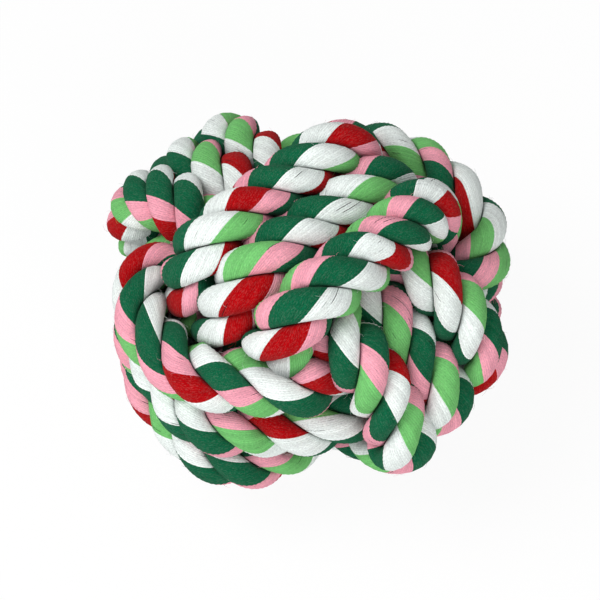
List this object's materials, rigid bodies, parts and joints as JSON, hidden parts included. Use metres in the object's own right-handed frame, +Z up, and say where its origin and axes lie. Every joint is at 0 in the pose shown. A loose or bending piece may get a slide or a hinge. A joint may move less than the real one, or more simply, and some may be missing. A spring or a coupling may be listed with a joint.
{
  "type": "rope dog toy",
  "caption": "Ball of thick soft rope tied as a monkey's fist, with tucked ends and a flattened underside to rest on, for a dog to chew, fetch and tug.",
  "frame": {"origin": "on the flattened underside that the ball rests on, under the middle of its bounding box", "axes": "+Z up from the resting face; +Y along the long way of the level first turns; +X along the long way of the second turns"},
  "size_m": [0.1006, 0.0942, 0.0856],
  "materials": {
    "rope_cotton": "soft matte cotton yarn, five colours laid in three strands",
    "core_cotton": "matte undyed cotton",
    "whipping_thread": "matte thread"
  },
  "bodies": {
    "root": {"first_turns": "rope_cotton", "second_turns": "rope_cotton", "third_turns": "rope_cotton", "core_ball": "core_cotton", "start_whipping": "whipping_thread", "end_whipping": "whipping_thread"}
  },
  "joints": []
}
